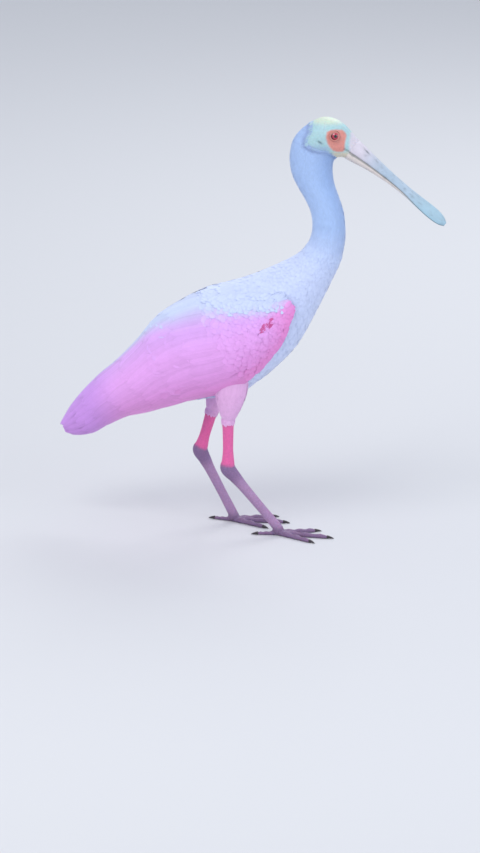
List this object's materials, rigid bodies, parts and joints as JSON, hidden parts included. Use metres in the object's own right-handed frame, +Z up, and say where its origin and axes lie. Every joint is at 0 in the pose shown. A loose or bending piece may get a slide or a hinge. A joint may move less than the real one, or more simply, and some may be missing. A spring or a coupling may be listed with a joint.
{
  "type": "roseate spoonbill",
  "caption": "Standing roseate spoonbill, a still life-size model with folded pink wings, raised neck, bare head, spoon-shaped bill and long legs.",
  "frame": {"origin": "on the ground plane under the middle of the model's bounding box", "axes": "+X the way the bird faces, +Y its left side, +Z up"},
  "size_m": [0.5042, 0.1274, 0.5511],
  "materials": {
    "wing_feathers": "soft overlapping rose-pink feathers, paler towards the back",
    "tail_feathers": "soft orange-buff tail feathers",
    "body_feathers": "soft white body feathers with a faint pink flush",
    "neck_feathers": "short soft white feathers",
    "thigh_feathers": "short pale pink feathers",
    "head_skin": "bare wrinkled skin, greenish white with a coral face patch",
    "eye": "wet glossy red eye with a dark pupil",
    "bill": "satin grey-green horn with faint mottling",
    "leg_skin": "scaled satin crimson-pink skin",
    "foot_skin": "scaled satin grey-violet skin",
    "claw": "dark satin horn"
  },
  "bodies": {
    "root": {"bill_lower": "bill", "bill_upper": "bill", "claw_hind_left": "claw", "claw_hind_right": "claw", "claw_inner_left": "claw", "claw_inner_right": "claw", "claw_middle_left": "claw", "claw_middle_right": "claw", "claw_outer_left": "claw", "claw_outer_right": "claw", "eye_left": "eye", "eye_right": "eye", "foot_left": "foot_skin", "foot_right": "foot_skin", "head": "head_skin", "neck_lower": "neck_feathers", "neck_middle": "neck_feathers", "neck_upper": "neck_feathers", "shank_left": "leg_skin", "shank_right": "leg_skin", "tail": "tail_feathers", "tarsus_left": "foot_skin", "tarsus_right": "foot_skin", "thigh_left": "thigh_feathers", "thigh_right": "thigh_feathers", "torso": "body_feathers", "wing_left": "wing_feathers", "wing_right": "wing_feathers"}
  },
  "joints": []
}
